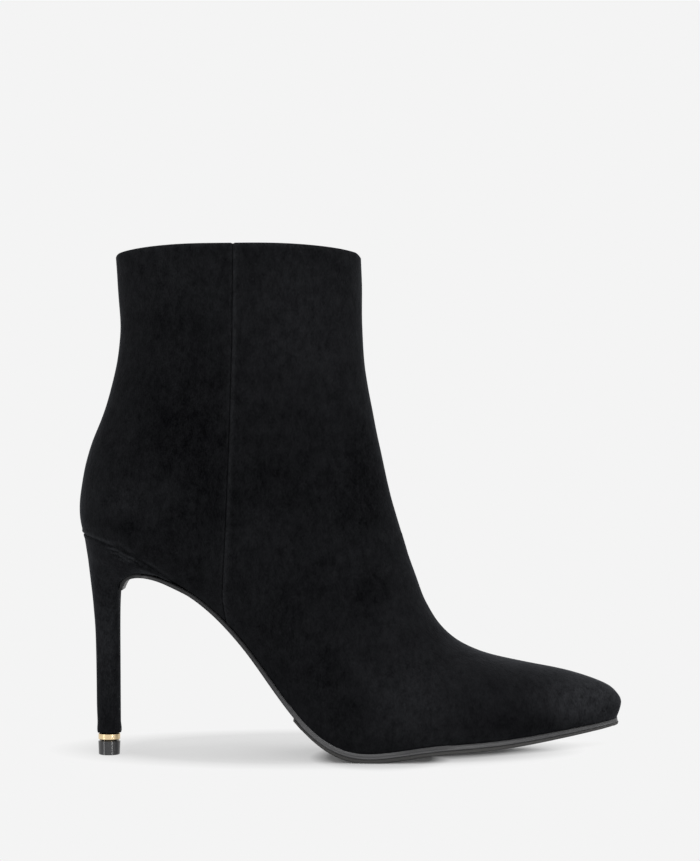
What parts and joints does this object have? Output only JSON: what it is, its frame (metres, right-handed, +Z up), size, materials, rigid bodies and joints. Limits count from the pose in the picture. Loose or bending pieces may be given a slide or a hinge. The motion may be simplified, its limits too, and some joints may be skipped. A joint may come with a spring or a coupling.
{
  "type": "heeled ankle boot",
  "caption": "Ankle boot with a pointed toe, a plain suede shaft open at the collar, and a slim covered heel with a metal band.",
  "frame": {"origin": "middle of the boot's length and width, on the floor it stands on", "axes": "+X towards the toe, +Z up, -Y towards the outer side of the right foot"},
  "size_m": [0.2456, 0.0748, 0.2311],
  "materials": {
    "suede": "black suede, matt nap",
    "insole_leather": "smooth black lining leather",
    "sole": "satin dark grey edge",
    "tread": "matt dark rubber",
    "heel_suede": "black suede cover, matt nap",
    "gold_metal": "bright turned band",
    "top_piece": "glossy black"
  },
  "bodies": {
    "root": {"upper": "suede", "insole": "insole_leather", "outsole": "sole", "forepart_tread": "tread", "heel": "heel_suede", "heel_ring": "gold_metal", "top_piece": "top_piece"}
  },
  "joints": []
}
